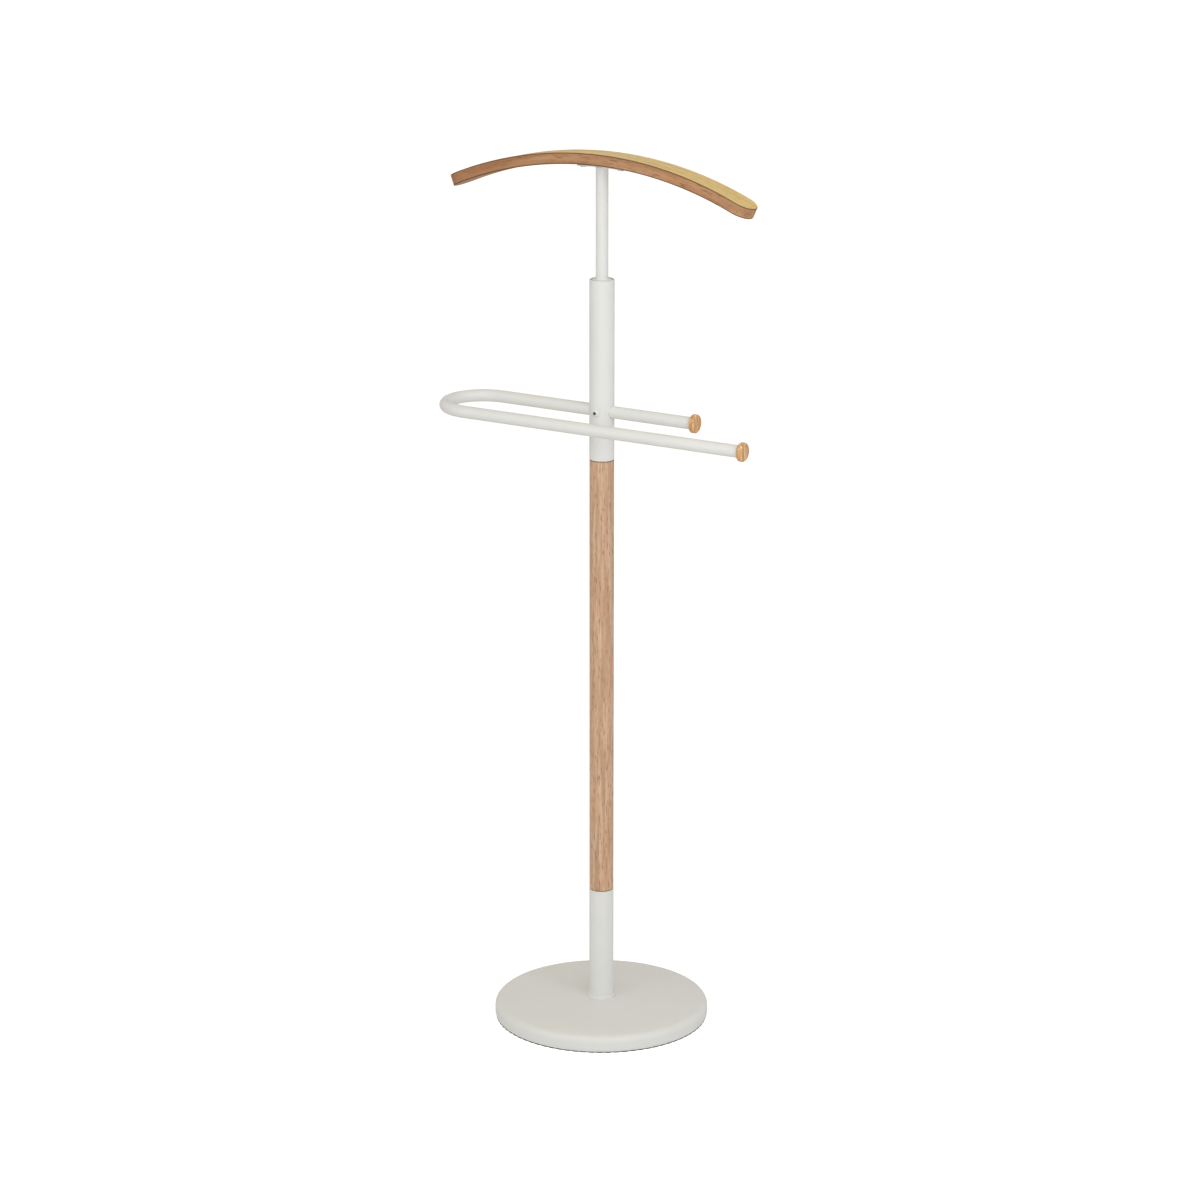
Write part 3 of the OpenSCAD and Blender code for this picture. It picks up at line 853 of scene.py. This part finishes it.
thrust = lathe("thrust_ring",
               tube_outline(rod_radius, thrust_high.x, thrust_low.z, thrust_high.z, 0.5))
dress(thrust, "powder_white", "rod_thrust_ring")

# %% [markdown]
# The rod is welded to the bracket under the arm. The bead of the weld is a small fillet with
# ripples where the torch paused, and the paint flows over it. As it goes round the rod, the
# outline's fillet grows and shrinks a little, which the lathe allows by asking for a new outline
# at each step.

# %% Hanger rod
groove_radius = rod_radius - 0.7
chamfer = 0.4
bead = 2.4
ripple = 0.25


def rod_outline(step):
    """Section of the rod, with its clip groove and, on the slanted top, the weld bead."""
    size = bead + ripple * abs(sin(2 * pi * step * 9 / 144))
    slant = sin(2 * pi * step / 144) * tan(arm_lean)
    weld = arc((rod_radius + size, pivot_z - size), size, 180, 90, 5)
    top = [(r, h - r * slant) for r, h in weld + [(rod_radius - rod_wall, pivot_z)]]
    return [
        (rod_radius - rod_wall, rod_low.z), (rod_radius - chamfer, rod_low.z),
        (rod_radius, rod_low.z + chamfer), (rod_radius, clip_low.z), (groove_radius, clip_low.z), (groove_radius, clip_high.z),
        (rod_radius, clip_high.z), *top]


rod = lathe("welded_rod", rod_outline, steps=144)
dress(rod, "powder_white", "hanger_rod")

# %% [markdown]
# ## Bracket and arm
# The bracket and the arm are both flat outlines that are given a thickness and bent round one
# centre. `bent_plate` does that for any outline with a left and a right half that mirror each
# other. It stacks copies of the outline: drawn in a little at the bottom, full width along the
# side, drawn in again at the top, so that all long edges are round. Broad faces are filled with
# quads from one half to the other. A number stored on each point says how much it belongs to an
# edge, for the material to read.

# %% Bent plates
lean_back = (Matrix.Translation((0, 0, pivot_z)) @ Matrix.Rotation(-arm_lean, 4, "X")
             @ Matrix.Translation((0, 0, -pivot_z)))


def edge_profile(low, high, ease):
    """Rows of (inset, radius, edge weight) from the underside to the top, with round edges."""
    flat = 1.0
    # edge weights per row: how strongly the arm's material paints shade on the eased edge
    quarter = [(radians(90 * i / 4), edge_shade) for i, edge_shade in enumerate((1, 1, 0.8, 0.35, 0))]
    bottom = [(ease * (1 - cos(a)), low + ease * (1 - sin(a)), b) for a, b in reversed(quarter)]
    top = [(ease * (1 - cos(a)), high - ease * (1 - sin(a)), b) for a, b in quarter]
    return [(ease + flat, low, 0.0), *bottom, (0, low + ease + flat, 0.0),
            (0, high - ease - flat, 0.0), *top, (ease + flat, high, 0.0)]


def bent_plate(name, half_outline, low, high, ease):
    """Bends a plate. half_outline(inset) gives (axis angle, offset, width) from end to end."""
    rows, weights = [], []
    for inset, radius, weight in edge_profile(low, high, ease):
        half = half_outline(inset)
        other = [(a, s, -w) for a, s, w in half[-2:0:-1]]
        row = []
        for axis_angle, offset, width in half + other:
            a = radians(axis_angle) + asin(offset / radius)
            row.append(lean_back @ Vector((radius * sin(a), width, arm_centre_z + radius * cos(a))))
        rows.append(row)
        weights += [weight] * len(row)
    last = len(half) - 1
    full = 2 * last
    faces = [(0, 1, full - 1), (last - 1, last, last + 1)]
    faces += [(i, i + 1, full - i - 1, full - i) for i in range(1, last - 1)]
    piece = skin(name, rows, close_rows=False, close_points=True,
                 caps=[(0, faces), (len(rows) - 1, faces)])
    # the edge weight, by which the arm's material paints shade on its eased edges
    layer = piece.data.attributes.new("eased_edge", "FLOAT", "POINT")
    layer.data.foreach_set("value", weights)
    return piece


# %% Bracket
plate_outer = arm_radius - arm_thick
plate_inner = plate_outer - bracket_thick
plate_half = box_mm("hanger_bracket")[1].x
plate_side = 10
corner = 4


def bracket_half(inset):
    """Half of the bracket's outline: an end, a rounded corner, a long side, and the same again."""
    ends = arc((plate_half - corner, plate_side - corner), corner - inset, 0, 90, 6)
    right = [(0, plate_half - inset, 0.0)] + [(0, x, y) for x, y in ends]
    side = plate_side - inset
    middle = [(0, (plate_half - corner) * (1 - i / 6), side) for i in range(1, 12)]
    left = [(0, -s, w) for _, s, w in reversed(right)]
    return right + middle + left


bracket = bent_plate("bent_bracket", bracket_half, plate_inner, plate_outer, 0.7)
dress(bracket, "powder_white", "hanger_bracket")

# %% Arm
arm_half_width = 20.4
end_angle = 22.8
end_over = 0.4
side_steps = 90


def arm_half(inset):
    """Half of the arm's outline: a quarter of a round end, the long side, and the other quarter."""
    end_radius = arm_half_width - inset
    quarter = [radians(90 * i / 12) for i in range(13)]
    right = [(end_angle, end_over + end_radius * cos(a), end_radius * sin(a)) for a in quarter]
    middle = [(end_angle * (1 - 2 * i / side_steps), 0, end_radius) for i in range(1, side_steps)]
    left = [(-a, -s, w) for a, s, w in reversed(right)]
    return right + middle + left


arm = bent_plate("bent_arm", arm_half, arm_radius - arm_thick, arm_radius, 0.9)
dress(arm, "beech_arm", "hanger_arm")

# %% [markdown]
# ## The pieces that stay
# Studs, plugs, inserts, the bolt and the small screws already have their true shape in the CAD
# model. Each of them arrives with a material that is named after its slot, and only needs the
# finish for that slot in its place.

# %% Finishes for the CAD pieces
stayed = [node for node in frame["nodes"].values() if not node.hide_render]
for node in stayed:
    for place in node.material_slots:
        place.material = finishes[place.material.name.split(".")[0]]
print(len(stayed), "CAD pieces keep their shape:", ", ".join(node.name for node in stayed))
